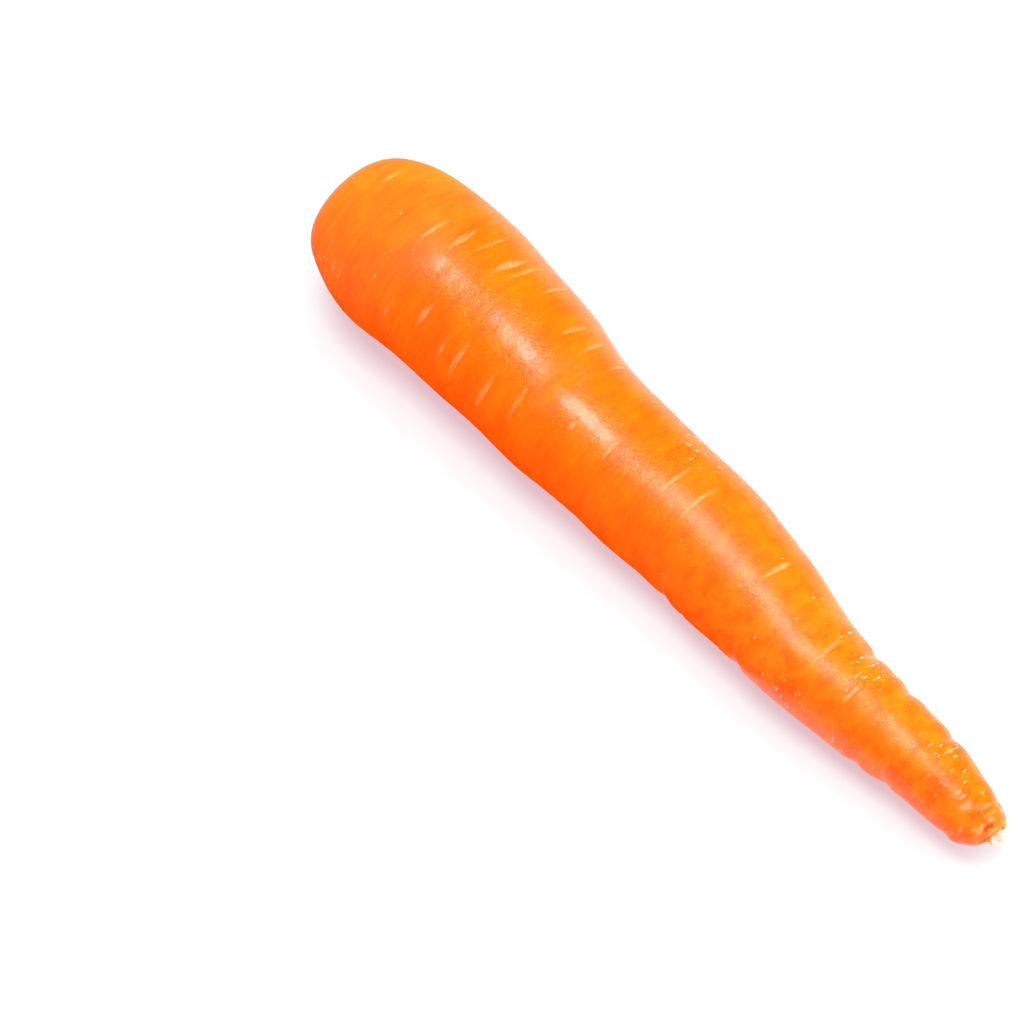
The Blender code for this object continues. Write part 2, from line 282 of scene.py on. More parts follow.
# Along, degrees round the root, length across, how open and how pale.
UPPER_SCARS = (
    (6.1, 76.0, 4.0, 0.1, 0.4), (9.8, 82.0, 6.0, 0.15, 0.7), (26.7, 92.5, 8.7, 0.3, 0.8),
    (32.4, 82.0, 9.4, 0.7, 0.8), (36.7, 66.0, 11.0, 0.15, 0.6), (43.2, 69.0, 12.0, 0.9, 0.8),
    (46.4, 62.5, 11.5, 0.4, 0.65), (53.0, 51.0, 12.0, 0.35, 0.8), (63.9, 62.5, 8.4, 0.4, 0.8),
    (69.0, 57.0, 11.0, 0.3, 0.8), (75.4, 46.0, 9.5, 0.2, 0.9), (86.6, 40.5, 6.8, 0.2, 0.8),
    (13.2, 161.0, 6.2, 0.2, 0.5), (15.6, 160.0, 7.2, 0.2, 0.5), (30.2, 156.5, 7.5, 0.15, 0.6),
    (38.4, 138.0, 7.8, 0.7, 0.85), (46.3, 148.0, 8.3, 0.15, 0.6), (50.8, 145.0, 11.0, 0.5, 0.8),
    (60.1, 149.0, 11.5, 0.55, 0.8), (68.0, 134.0, 9.7, 0.35, 0.7), (80.7, 116.0, 4.5, 0.4, 0.9),
    (90.4, 110.5, 5.1, 0.2, 0.8), (105.1, 91.5, 8.9, 0.3, 1.0), (111.9, 93.5, 10.4, 0.3, 0.9),
    (134.0, 77.5, 9.6, 0.45, 1.0), (154.0, 92.0, 10.6, 0.35, 0.9), (163.8, 107.0, 6.1, 0.3, 0.6),
    (185.8, 65.0, 4.0, 0.3, 0.7),
)
LOWER_ROWS = (2, 3)
FIRST_SCAR = 9.0
LAST_SCAR = 192.0
CROWN_PITCH = 6.4
TIP_PITCH = 22.0
PITCH_POWER = 1.3
CROWN_SCAR_LENGTH = 8.5
TIP_SCAR_LENGTH = 4.5
SCAR_SPREAD = (0.6, 1.4)
SCAR_STRAY = math.radians(3.5)
SCAR_SEED = 11
OPEN_SHARE = 0.3
KIND_SEED = 21


def row_angle(row, along):
    """Angle of a row of scars, which winds a little round the root."""
    return np.radians(smooth_curve(ROW_LINES[row], along))


def angle_between(first, second):
    """Difference of two angles, between minus half a turn and half a turn."""
    return (first - second + math.pi) % (2.0 * math.pi) - math.pi


def scar_places():
    """Along, angle, length, openness and paleness of each scar."""
    scars = [(along, math.radians(degrees), *rest) for along, degrees, *rest in UPPER_SCARS]
    chance = random.Random(SCAR_SEED)
    kinds = random.Random(KIND_SEED)
    for row in LOWER_ROWS:
        along = FIRST_SCAR + chance.uniform(0.0, CROWN_PITCH)
        while along < LAST_SCAR:
            down = along / LENGTH
            length = CROWN_SCAR_LENGTH + (TIP_SCAR_LENGTH - CROWN_SCAR_LENGTH) * down
            length *= chance.uniform(*SCAR_SPREAD)
            angle = float(row_angle(row, along)) + chance.gauss(0.0, SCAR_STRAY)
            is_open = kinds.random() < OPEN_SHARE
            openness = kinds.uniform(0.6, 1.0) if is_open else kinds.uniform(0.1, 0.4)
            scars.append((along, angle, length, openness, kinds.uniform(0.5, 0.9)))
            pitch = CROWN_PITCH + (TIP_PITCH - CROWN_PITCH) * down**PITCH_POWER
            along += pitch * chance.uniform(*SCAR_SPREAD)
    return scars


print(len(scar_places()), "scars in", len(ROW_LINES), "rows")

# %% Shape each scar
SLIT_HALF_WIDTH = 0.17
OPEN_HALF_WIDTH = 0.66
SCAR_DEPTH = 0.4
LIP_HEIGHT = 0.1
SCAR_LEAN = (-0.12, 0.04)
SCAR_BOW = (-0.3, 0.4)


def scars(along, angle, radius):
    """Height that the scars give the skin, how much of the pale line shows, and of the open middle."""
    chance = random.Random(KIND_SEED)
    height = np.zeros_like(along)
    pale = np.zeros_like(along)
    open_part = np.zeros_like(along)
    for place, scar_angle, length, openness, paleness in scar_places():
        half_width = SLIT_HALF_WIDTH + (OPEN_HALF_WIDTH - SLIT_HALF_WIDTH) * openness**1.5
        lean = chance.uniform(*SCAR_LEAN)
        bow = chance.uniform(*SCAR_BOW)
        sideways = angle_between(angle, scar_angle) * radius / (0.5 * length)
        taper = np.clip(1.0 - sideways**2, 0.0, 1.0)
        middle_line = place + lean * sideways * 0.5 * length + bow * sideways**2
        offset = along - middle_line
        width = SLIT_HALF_WIDTH * 0.5 + half_width * taper**1.8
        distance = np.abs(offset) / width
        height -= SCAR_DEPTH * (0.5 + 0.5 * openness) * taper * np.exp(-(distance**2))
        height += LIP_HEIGHT * taper * np.exp(-(((distance - 1.8) / 0.6) ** 2))
        mark = paleness * taper**0.4 * ease(1.7 - distance)
        pale = np.maximum(pale, mark)
        inside = openness * ease(1.15 - distance) * ease((width - 0.45) / 0.3)
        open_part = np.maximum(open_part, inside)
    return height, pale, open_part


# %% [markdown]
# ## Creases and lumps
#
# The lower half is pinched by ring creases, each part of the way round, and swells softly between them.
# Broad lumps keep the body from looking turned. Both follow the solid. Finer unevenness is added on top:
# faint ring wrinkles, and a soft uneven surface that breaks up the shine. A cloud texture with a Displace
# modifier could do the fine part. Random heights on a grid that closes on itself round the root do it
# without a seam.

# %% Shape the creases and lumps
CREASES = (
    (116.8, 200.0, 0.35, 45.0), (130.0, 310.0, 0.4, 62.0), (139.0, 201.0, 0.45, 45.0),
    (149.0, 290.0, 0.45, 62.0), (159.5, 34.0, 0.6, 36.0), (170.5, 34.0, 0.5, 34.0),
    (172.0, 208.0, 0.35, 40.0), (177.0, 290.0, 0.4, 62.0), (179.5, 196.0, 0.5, 38.0),
    (183.5, 34.0, 0.45, 34.0), (195.0, 300.0, 0.35, 62.0),
)
CREASE_HALF_WIDTH = 2.4
CREASE_BULGE = 1.2
CREASE_LEAN = 1.2
CREASE_SEED = 5
FOLD_DEPTH = 0.12
FOLD_HALF_WIDTH = 0.35
LUMP_HEIGHT = 0.16
LUMP_COUNT = 7
LUMP_WAVES = (22.0, 80.0)
LUMP_SEED = 3


def creases(along, angle):
    """Depth of the ring creases with the bulges beside them, and where the narrow fold itself is."""
    chance = random.Random(CREASE_SEED)
    dent = np.zeros_like(along)
    fold = np.zeros_like(along)
    for place, degrees, depth, spread in CREASES:
        away = angle_between(angle, math.radians(degrees))
        lean = chance.uniform(-CREASE_LEAN, CREASE_LEAN)
        offset = along - place - lean * away
        distance = offset / CREASE_HALF_WIDTH
        reach = np.exp(-((away / math.radians(spread)) ** 2))
        dent += depth * reach * (1.0 - CREASE_BULGE * distance**2) * np.exp(-(distance**2))
        fold = np.maximum(fold, reach**3 * np.exp(-((offset / FOLD_HALF_WIDTH) ** 2)))
    return dent + FOLD_DEPTH * fold, fold


def lumps(along, angle):
    """Height of the broad lumps: a few long waves that run along and round the root."""
    chance = random.Random(LUMP_SEED)
    height = np.zeros_like(along)
    for _ in range(LUMP_COUNT):
        wave = 2.0 * math.pi / chance.uniform(*LUMP_WAVES)
        lobes = chance.choice((1, 2, 3))
        phase = chance.uniform(0.0, 2.0 * math.pi)
        height += LUMP_HEIGHT * np.sin(wave * along + lobes * angle + phase) / lobes
    return height


# %% Shape the fine unevenness
SHRINK_START = 189.0
SHRINK_REACH = 10.0
SHRINK_HEIGHT = 0.24


def soft_noise(along, angle, cell, cells_round, seed):
    """Smooth random heights from -1 to 1. Cells are `cell` mm long, `cells_round` go round the root."""
    rows = int(LENGTH / cell) + 8
    table = np.random.default_rng(seed).uniform(-1.0, 1.0, (rows, cells_round))
    u = along / cell + 3.0
    v = angle / (2.0 * math.pi) * cells_round
    row = np.floor(u).astype(int)
    column = np.floor(v).astype(int)
    near_row = table[row % rows, column % cells_round]
    far_row = table[(row + 1) % rows, column % cells_round]
    near_next = table[row % rows, (column + 1) % cells_round]
    far_next = table[(row + 1) % rows, (column + 1) % cells_round]
    down = ease(u - row)
    across = ease(v - column)
    here = near_row * (1.0 - down) + far_row * down
    beside = near_next * (1.0 - down) + far_next * down
    return here * (1.0 - across) + beside * across


def fine_relief(along, angle):
    """Dimples, ring wrinkles and grain, from broad to fine, and the shrunken skin of the last bit."""
    dimples = 0.10 * soft_noise(along, angle, 7.0, 11, seed=31)
    wrinkles = 0.035 * soft_noise(along, angle, 1.3, 9, seed=32)
    grain = 0.012 * soft_noise(along, angle, 0.8, 60, seed=33)
    toward_tip = 1.0 + 0.5 * ease((along - 110.0) / 70.0)
    shrunken = soft_noise(along, angle, 2.2, 13, seed=34)
    shrunken += 0.5 * soft_noise(along, angle, 1.0, 24, seed=35)
    shrunken *= ease((along - SHRINK_START) / SHRINK_REACH)
    return dimples * toward_tip + wrinkles + grain + SHRINK_HEIGHT * shrunken


# %% Shape the tear at the tip
TEAR_ALONG = 203.2
TEAR_ANGLE = math.radians(103.0)
TEAR_LEAN = -0.2
TEAR_HALF_LENGTH = 0.5
TEAR_HALF_WIDTH = 1.55
TEAR_DEPTH = 1.5


def tear(along, angle, radius):
    """How far each point is inside the tear, and where its pale lip is on the crown's side."""
    sideways = angle_between(angle, TEAR_ANGLE) * radius
    offset = along - TEAR_ALONG + TEAR_LEAN * sideways
    offset += 0.5 * soft_noise(along, angle, 1.2, 21, seed=38)
    distance = np.hypot(offset / TEAR_HALF_LENGTH, sideways / TEAR_HALF_WIDTH)
    lip = np.exp(-(((distance - 1.45) / 0.3) ** 2)) * ease(0.3 - offset)
    return np.exp(-(distance**3)), lip


# %% [markdown]
# ## The root's mesh
#
# Every ring of the outline becomes a ring of points, pushed out or in by the relief. Next to the shape, each
# point keeps a few numbers that say what the skin is there: scar, fold, crown or broken flesh, and where the
# slit and the tear at the tip get painted shade. The material reads them by name. Painting them in an image
# would need unwrapping; numbers on points need none.

# %% Build the rings of points
SKIN_START = 5.0
TIP_SLIT_DEPTH = 1.6
TIP_SLIT_HALF_WIDTH = 0.75

lines = np.linspace(0.0, 2.0 * math.pi, LINES_ROUND, endpoint=False)
along = np.repeat(outline[:, :1], LINES_ROUND, axis=1)
radius = np.repeat(outline[:, 1:], LINES_ROUND, axis=1)
angle = np.repeat(lines[None, :], len(outline), axis=0)

on_skin = ease(along / SKIN_START)
on_skin[:len(crown_part)] = 0.0
on_skin[face_start:] = 0.0
scar_height, scar_pale, scar_open = scars(along, angle, radius)
crease_depth, fold = creases(along, angle)
tear_inside, tear_lip = tear(along, angle, radius)
relief = lumps(along, angle) - crease_depth + scar_height + fine_relief(along, angle)
relief += 0.2 * tear_lip - TEAR_DEPTH * tear_inside
outward = radius + on_skin * relief

centre_along = along.copy()
centre_along[:len(crown_part)] = 0.0
sideways, height = centre_line(centre_along)
across = outward * np.cos(angle)
upward = outward * np.sin(angle)
slant = TIP_SLANT * ease((along - TIP_START) / (LENGTH - TIP_START))
x = along - slant * outward * (1.0 - np.cos(angle - TIP_LONG_SIDE))
slit = np.exp(-((upward / TIP_SLIT_HALF_WIDTH) ** 2)) * ease((TIP_FACE_RADIUS - outward) / 0.8)
x[face_start:] -= TIP_SLIT_DEPTH * slit[face_start:]
x[face_start:] += 0.3 * soft_noise(6.0 * outward, angle, 3.0, 12, seed=36)[face_start:]
y = sideways + across * (1.0 + SIDEWAYS_OVAL)
z = np.maximum(height + upward * (1.0 - SIDEWAYS_OVAL), 0.0)
y_shift = 0.5 * (root_low.y + root_high.y) / MM - 0.5 * (y.min() + y.max())
points = np.stack([x + root_low.x / MM, y + y_shift, z], axis=-1)
print("skin relief from", round(relief.min(), 2), "to", round(relief.max(), 2), "mm")


# %% Join the rings
def closed_tube(name, rings, start, end):
    """Join rings of points into one closed body, with a fan of triangles at each end."""
    count_rings, count_round = rings.shape[:2]
    vertices = np.concatenate([rings.reshape(-1, 3), [start, end]]) * MM
    index = np.arange(count_rings * count_round).reshape(count_rings, count_round)
    after = np.roll(index, -1, axis=1)
    sides = np.stack([index[:-1], after[:-1], after[1:], index[1:]], axis=-1).reshape(-1, 4)
    first = len(vertices) - 2
    last = len(vertices) - 1
    start_fan = [(first, b, a) for a, b in zip(index[0], after[0])]
    end_fan = [(last, a, b) for a, b in zip(index[-1], after[-1])]
    mesh = bpy.data.meshes.new(name)
    mesh.from_pydata(vertices.tolist(), [], sides.tolist() + start_fan + end_fan)
    mesh.shade_smooth()
    return put_in_scene(name, mesh)


def store(piece, name, values):
    """Keep one number for each point of a piece, for its material to read by name."""
    numbers = piece.data.attributes.new(name, "FLOAT", "POINT")
    numbers.data.foreach_set("value", np.asarray(values, np.float32).ravel())


root = closed_tube("carrot_skin", points, points[0].mean(axis=0), points[-1].mean(axis=0))
crown_cut = 1.0 - ease((radius - 8.2) / 1.0)
crown_cut[len(crown_part):] = 0.0
boss = 1.0 - ease((radius - 2.9) / 0.7)
boss[len(crown_part):] = 0.0
rim = np.exp(-(((radius - 8.9) / 0.4) ** 2)) * (along < 3.0)
ragged = soft_noise(along, angle, 1.1, 17, seed=37)
broken = ease((along - LENGTH + 0.8 + 0.9 * ragged) / 0.7)
torn_pale = np.maximum(tear_lip, 0.7 * ease((along - LENGTH + 7.0) / 5.0) * ease(1.8 * ragged - 0.4))
# Painted shade: the slit in the broken tip and the inside of the tear are coloured dark.
slit_and_tear_shade = np.maximum(slit * ease((along - LENGTH + 0.9) / 0.6), tear_inside)
print("root mesh has", len(root.data.vertices), "points")

# %% [markdown]
# ## Scuffed, wet and matt places
#
# A washed carrot isn't the same all over. Where others rubbed it there are clusters of short pale dashes,
# water stands in a few places on its back, and round the crown the skin is dry and dull. They could be one
# random pattern, but on a real root each has its place. So each kind is a short list of soft round spots.

# %% Place the scuffed, wet and matt spots
# Along, degrees round the root, reach along, spread in degrees and strength.
SCUFFS = (
    (104.0, 45.0, 7.0, 26.0, 1.0), (120.0, 33.0, 10.0, 12.0, 1.0), (150.0, 55.0, 6.0, 22.0, 0.7),
    (163.0, 70.0, 5.0, 20.0, 0.8), (155.0, 165.0, 10.0, 18.0, 0.8), (172.0, 180.0, 12.0, 20.0, 0.7),
    (190.0, 70.0, 10.0, 50.0, 0.5), (132.0, 120.0, 5.0, 12.0, 0.5), (60.0, 95.0, 18.0, 12.0, 0.25),
    (7.0, 180.0, 7.0, 24.0, 0.7), (8.0, 275.0, 9.0, 45.0, 0.9), (30.0, 300.0, 12.0, 25.0, 0.6),
    (70.0, 250.0, 14.0, 25.0, 0.6), (110.0, 280.0, 12.0, 30.0, 0.7), (150.0, 250.0, 14.0, 30.0, 0.6),
    (180.0, 320.0, 12.0, 30.0, 0.6),
)
WET_SPOTS = (
    (33.7, 104.0, 2.0, 11.0, 0.7), (40.0, 104.0, 3.5, 15.0, 0.8), (50.5, 104.0, 7.5, 22.0, 1.0),
    (61.0, 104.0, 4.0, 16.0, 0.8), (80.0, 104.0, 6.0, 22.0, 1.0), (87.5, 104.0, 2.5, 13.0, 0.7),
    (20.0, 250.0, 12.0, 40.0, 0.7), (75.0, 330.0, 20.0, 40.0, 0.7), (60.0, 210.0, 12.0, 25.0, 0.7),
    (70.0, 20.0, 10.0, 25.0, 0.6),
)
MATT_SPOTS = ((12.0, 110.0, 16.0, 80.0, 1.0), (72.5, 100.0, 3.5, 28.0, 0.7))


def spots(places):
    """How strongly each point lies in one of a few soft spots on the skin, from 0 to 1."""
    found = np.zeros_like(along)
    for spot_along, degrees, reach, spread, strength in places:
        away = angle_between(angle, math.radians(degrees)) / math.radians(spread)
        spot = np.exp(-(((along - spot_along) / reach) ** 2) - away**2)
        found = np.maximum(found, strength * spot)
    return ease(1.3 * found)


def with_ends(values, start, end):
    """The grid's values with those of the two end points after them."""
    return np.concatenate([values.ravel(), [start, end]])


for name, values, start, end in (
    ("scar", scar_pale * on_skin, 0.0, 0.0),
    ("scar_open", scar_open * on_skin, 0.0, 0.0),
    ("fold", fold * on_skin, 0.0, 0.0),
    ("scuff", spots(SCUFFS) * on_skin, 0.0, 0.0),
    ("wet", spots(WET_SPOTS) * on_skin, 0.0, 0.0),
    ("matt", spots(MATT_SPOTS) * on_skin, 0.0, 0.0),
    ("crown_cut", crown_cut, 1.0, 0.0),
    ("boss", boss, 1.0, 0.0),
    ("rim", rim, 0.0, 0.0),
    ("broken", broken, 0.0, 1.0),
    ("slit", slit_and_tear_shade, 0.0, 1.0),
    ("torn", np.clip(torn_pale, 0.0, 1.0) * on_skin, 0.0, 0.0),
    ("along", along / LENGTH, 0.0, 1.0),
):
    store(root, name, with_ends(values, start, end))
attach(root, "root")
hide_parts("carrot_root")
print(len(SCUFFS), "scuffed,", len(WET_SPOTS), "wet and", len(MATT_SPOTS), "matt spots")

# %% [markdown]
# ## Cut leaf stalks
#
# The leaves were cut off flush with the crown. What is left are the bases of their stalks: dry curved
# sheaths in rings, one inside the other, brown outside, green on one side, pale inside. Each one is a bent
# strip with a ragged top. One strip copied round would look stamped, so every strip is drawn with its own
# unevenness, at the places that the solid gives them.

# %% Set the crown's middle and the rows of stalks
GAP = 0.3
STUB_BASE_THICKNESS = 0.8
STUB_INNER_RADIUS = 3.7
STUB_OUTER_RADIUS = 7.7
STUB_THICKNESS = 0.75
STUB_ROWS = ((7.15, 3, 1.9), (5.95, 3, 1.5), (4.75, 2, 1.2))
STUB_FILL = 0.86
STUB_TOP_UNEVEN = 0.3
STUB_SEED = 8

crown_y = 0.5 * (stub_low.y + stub_high.y) / MM
crown_z = 0.5 * (stub_low.z + stub_high.z) / MM
crown_x = root_low.x / MM


def crown_point(out_of_crown, from_middle, turn):
    """A place in the crown: height out of its rim, distance from its middle and angle."""
    return (
        crown_x - out_of_crown,
        crown_y + from_middle * np.cos(turn),
        crown_z + from_middle * np.sin(turn),
    )


print("crown's middle at", round(crown_y, 2), round(crown_z, 2), "mm")


# %% Bend the sheaths
SHEATH_STEPS = 64
SHEATH_PROFILE = (
    (-0.5, 0.0), (-0.5, 0.35), (-0.42, 0.7), (-0.25, 0.93),
    (0.0, 1.0),
    (0.25, 0.92), (0.42, 0.7), (0.5, 0.35), (0.5, 0.0),
)


def sheath(from_middle, middle_turn, half_turn, bottom, top, lean, chance):
    """Points of one bent strip, as an array of steps along it by points of its profile by three."""
    part = np.linspace(-1.0, 1.0, SHEATH_STEPS)
    turn = middle_turn + half_turn * part
    ragged = np.interp(part, np.linspace(-1.0, 1.0, 23), chance.uniform(-0.32, 0.14, 23))
    fine_ragged = chance.uniform(-0.07, 0.07, SHEATH_STEPS)
    upper = top - STUB_TOP_UNEVEN * part**2 + lean * part + ragged + fine_ragged
    wander = np.interp(part, np.linspace(-1.0, 1.0, 9), chance.uniform(-0.13, 0.13, 9))
    thickness = STUB_THICKNESS * (1.0 - 0.45 * part**2) * chance.uniform(0.75, 1.0, SHEATH_STEPS)
    strip = []
    for reach, level in SHEATH_PROFILE:
        ribs = 1.0 + 0.12 * np.sin(37.0 * turn + 5.0 * reach)
        out = from_middle + wander * level + reach * thickness * ribs
        strip.append(np.stack(crown_point(bottom + (upper - bottom) * level, out, turn), axis=-1))
    return np.stack(strip, axis=1)


def all_sheaths():
    """The strips of every row, at the places that the solid has them."""
    chance = random.Random(STUB_SEED)
    shapes = np.random.default_rng(41)
    base_top = -HOLLOW_DEPTH + GAP + STUB_BASE_THICKNESS
    strips = []
    for from_middle, count, rise in STUB_ROWS:
        half_turn = math.pi / count * STUB_FILL
        first = chance.uniform(0.0, 2.0 * math.pi)
        for index in range(count):
            middle_turn = first + 2.0 * math.pi * index / count
            top = base_top + rise * chance.uniform(0.85, 1.0) - 0.2
            lean = chance.uniform(-0.15, 0.15)
            bottom = base_top - STUB_BASE_THICKNESS
            strips.append(sheath(from_middle, middle_turn, half_turn, bottom, top, lean, shapes))
    return strips


sheath_strips = all_sheaths()
print(len(sheath_strips), "sheaths")


# %% Join the sheaths and their ring
def grid_faces(rows, columns, start, round_rows=False, round_columns=True):
    """Four-sided faces of a grid of points that starts at the given number."""
    index = start + np.arange(rows * columns).reshape(rows, columns)
    if round_rows:
        index = np.concatenate([index, index[:1]], axis=0)
    if round_columns:
        index = np.concatenate([index, index[:, :1]], axis=1)
    faces = np.stack([index[:-1, :-1], index[:-1, 1:], index[1:, 1:], index[1:, :-1]], axis=-1)
    return faces.reshape(-1, 4).tolist()


def object_from_parts(name, parts):
    """One object from several (points, faces) parts, with its normals pointing out."""
    vertices = np.concatenate([part.reshape(-1, 3) for part, _ in parts]) * MM
    faces = [face for _, part_faces in parts for face in part_faces]
    mesh = bpy.data.meshes.new(name)
    mesh.from_pydata(vertices.tolist(), [], faces)
    shape = bmesh.new()
    shape.from_mesh(mesh)
    bmesh.ops.recalc_face_normals(shape, faces=shape.faces)
    shape.to_mesh(mesh)
    shape.free()
    mesh.shade_smooth()
    return put_in_scene(name, mesh)


def strip_faces(strip, start):
    """Faces of one bent strip, with its two ends closed."""
    rows, columns = strip.shape[:2]
    faces = grid_faces(rows, columns, start)
    faces.append([start + column for column in range(columns)])
    faces.append([start + (rows - 1) * columns + column for column in reversed(range(columns))])
    return faces


def ring_mat(chance):
    """The uneven ring of fibre that the sheaths stand on."""
    turns = np.linspace(0.0, 2.0 * math.pi, 120, endpoint=False)
    bottom = -HOLLOW_DEPTH + GAP * 0.5
    top = bottom + STUB_BASE_THICKNESS
    profile = [(STUB_INNER_RADIUS, bottom)]
    for out in np.linspace(STUB_INNER_RADIUS, STUB_OUTER_RADIUS, 14):
        profile.append((out, top))
    profile.append((STUB_OUTER_RADIUS, bottom))
    rows = []
    for out, level in profile:
        rough = chance.uniform(-0.16, 0.10, len(turns)) * (level > bottom)
        rows.append(np.stack(crown_point(level + rough, out, turns), axis=-1))
    return np.stack(rows, axis=1)


mat = ring_mat(np.random.default_rng(42))
parts = [(mat, grid_faces(*mat.shape[:2], 0, round_rows=True))]
used = mat.shape[0] * mat.shape[1]
for strip in sheath_strips:
    parts.append((strip, strip_faces(strip, used)))
    used += strip.shape[0] * strip.shape[1]
sheaths = object_from_parts("leaf_stalk_sheaths", parts)


def place_in_crown(piece):
    """Distance from the crown's middle in millimetres, and angle, of each point of a piece."""
    found = np.array([vertex.co for vertex in piece.data.vertices]) / MM
    beside = found[:, 1] - crown_y
    above = found[:, 2] - crown_z
    return np.hypot(beside, above), np.arctan2(above, beside), crown_x - found[:, 0]


GREEN_TURN = math.radians(35.0)
from_middle, turn, out_of_crown = place_in_crown(sheaths)
greenness = np.exp(-((angle_between(turn, GREEN_TURN) / 0.95) ** 2))
greenness *= np.exp(-(((from_middle - 5.9) / 1.1) ** 2))
store(sheaths, "green", greenness)
store(sheaths, "brown", ease((from_middle - 5.6) / 1.6))
# Painted shade: how far each point lies down in the crown's hollow, where the stalk's colour darkens.
store(sheaths, "deep", ease((-0.2 - out_of_crown) / 1.5))
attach(sheaths, "root")
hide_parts("leaf_stalk_stubs")
print("sheaths have", len(sheaths.data.polygons), "faces")

# %% [markdown]
# ## Fibres of the crown and the tip
#
# Three kinds of thin fibre finish the ends: short pale bristles that point out from the crown's orange
# middle, dry strands that lie round the outer sheaths, and a few torn wisps at the broken tip. Hair curves
# would look well in a render, but they don't leave Blender as a mesh. A tapered tube along a short bent
# line does, and a hundred of them cost few faces.

# %% Draw a tapered tube
FIBRE_SIDES = 5


def fibre(path, thickness, taper=0.85):
    """Points of a thin tube along a path. It narrows towards the end of the path."""
    path = np.asarray(path, float)
    direction = np.gradient(path, axis=0)
    direction /= np.linalg.norm(direction, axis=1, keepdims=True)
    helper = np.array([0.31, 0.57, 0.76])
    first = np.cross(direction, helper)
    first /= np.linalg.norm(first, axis=1, keepdims=True)
    second = np.cross(direction, first)
    narrowing = 1.0 - taper * np.linspace(0.0, 1.0, len(path)) ** 1.5
    turns = np.linspace(0.0, 2.0 * math.pi, FIBRE_SIDES, endpoint=False)
    ring = np.cos(turns)[None, :, None] * first[:, None] + np.sin(turns)[None, :, None] * second[:, None]
    return path[:, None] + ring * (thickness * narrowing)[:, None, None]


def fibre_object(name, tubes):
    """One object from many tubes, each closed at both ends."""
    made = []
    start = 0
    for tube in tubes:
        made.append((tube, strip_faces(tube, start)))
        start += tube.shape[0] * tube.shape[1]
    return object_from_parts(name, made)


# %% Grow the bristles round the crown's middle
BRISTLES = 150


def bristle_paths():
    """Short bent lines that point away from the crown's middle."""
    chance = np.random.default_rng(43)
    paths = []
    for index in range(BRISTLES):
        turn = 2.0 * math.pi * (index + chance.uniform(-0.4, 0.4)) / BRISTLES
        length = chance.uniform(0.9, 2.0)
        start = 3.2 + chance.uniform(-0.15, 0.35)
        level = -1.0 + chance.uniform(-0.35, 0.2)
        rise = chance.uniform(-0.15, 0.5)
        part = np.linspace(0.0, 1.0, 6)
        out = start + length * part
        turns = turn + chance.uniform(-0.12, 0.12) * part**2
        height_out = level + rise * np.sin(math.pi * 0.8 * part)
        paths.append(np.stack(crown_point(height_out, out, turns), axis=-1))
    return paths, chance


paths, chance = bristle_paths()
bristles = fibre_object(
    "crown_bristles",
    [fibre(path, chance.uniform(0.06, 0.13)) for path in paths],
)
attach(bristles, "root")
print(BRISTLES, "bristles")

# %% Lay the dry strands round the outer sheaths
STRANDS = 74


def strand_paths():
    """Long bent lines that lie round the crown, close to its wall."""
    chance = np.random.default_rng(44)
    paths = []
    for _ in range(STRANDS):
        first = chance.uniform(0.0, 2.0 * math.pi)
        sweep = chance.uniform(0.35, 1.3) * chance.choice((-1.0, 1.0))
        out = chance.uniform(5.2, 8.0)
        drift = chance.uniform(-0.45, 0.45)
        level = chance.uniform(-0.9, -0.05)
        part = np.linspace(0.0, 1.0, 16)
        waves = 0.06 * np.sin(chance.uniform(8.0, 16.0) * part + chance.uniform(0.0, 6.0))
        outs = np.clip(out + drift * part + waves, 4.9, 8.15)
        levels = level + chance.uniform(-0.25, 0.3) * part + waves
        paths.append(np.stack(crown_point(levels, outs, first + sweep * part), axis=-1))
    return paths, chance


paths, chance = strand_paths()
strands = fibre_object(
    "crown_strands",
    [fibre(path, chance.uniform(0.05, 0.12), 0.7) for path in paths],
)
from_middle, turn, out_of_crown = place_in_crown(strands)
store(strands, "green", 0.7 * np.exp(-((angle_between(turn, GREEN_TURN) / 0.9) ** 2)) * (from_middle < 6.8))
store(strands, "brown", ease((from_middle - 6.2) / 1.4))
# Painted shade: the strands darken lower down in the crown's hollow.
store(strands, "deep", ease((-0.6 - out_of_crown) / 1.5))
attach(strands, "root")
print(STRANDS, "strands")

# %% Tear the wisps at the tip
WISPS = 46
tip_middle = points[-1].mean(axis=0)


def wisp_paths():
    """Short torn fibres that stand out of the broken tip."""
    chance = np.random.default_rng(45)
    paths = []
    for index in range(WISPS):
        side = math.radians(chance.uniform(-100.0, 10.0))
        out = chance.uniform(0.9, 3.1)
        length = chance.uniform(0.7, 2.0)
        part = np.linspace(0.0, 1.0, 7)
        start = tip_middle + np.array([0.7, out * math.cos(side), out * math.sin(side)])
        reach = np.array([1.0, 0.5 * math.cos(side), 0.5 * math.sin(side)]) * length
        droop = np.array([0.1, -0.5, -0.6]) * chance.uniform(0.1, 0.7)
        paths.append(start + reach * part[:, None] + droop * (part**2)[:, None])
    return paths, chance


paths, chance = wisp_paths()
wisps = fibre_object("tip_wisps", [fibre(path, chance.uniform(0.12, 0.3), 0.6) for path in paths])
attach(wisps, "root")
print(WISPS, "wisps")

# %% [markdown]
# ## Patterns that the materials share
#
# Skin, flesh and dry stalk all vary in the same two ways: in soft streaks, and in small specks. Each is a
# node group, made once, and placed in every material with its own sizes. The streaks can be long and thin,
# because the space they are drawn in is squeezed along the root: on a carrot nearly everything fine runs
# round it, not along it.

# %% Make the streak and speck groups
def new_group(name, inputs, outputs):
    """An empty shader node group with named number, vector or colour sockets."""
    group = bpy.data.node_groups.new(name, "ShaderNodeTree")
    for socket_name, kind, value in inputs:
        socket = group.interface.new_socket(socket_name, in_out="INPUT", socket_type=kind)
        if value is not None:
            socket.default_value = value
    for socket_name, kind in outputs:
        group.interface.new_socket(socket_name, in_out="OUTPUT", socket_type=kind)
    return group, group.nodes.new("NodeGroupInput"), group.nodes.new("NodeGroupOutput")


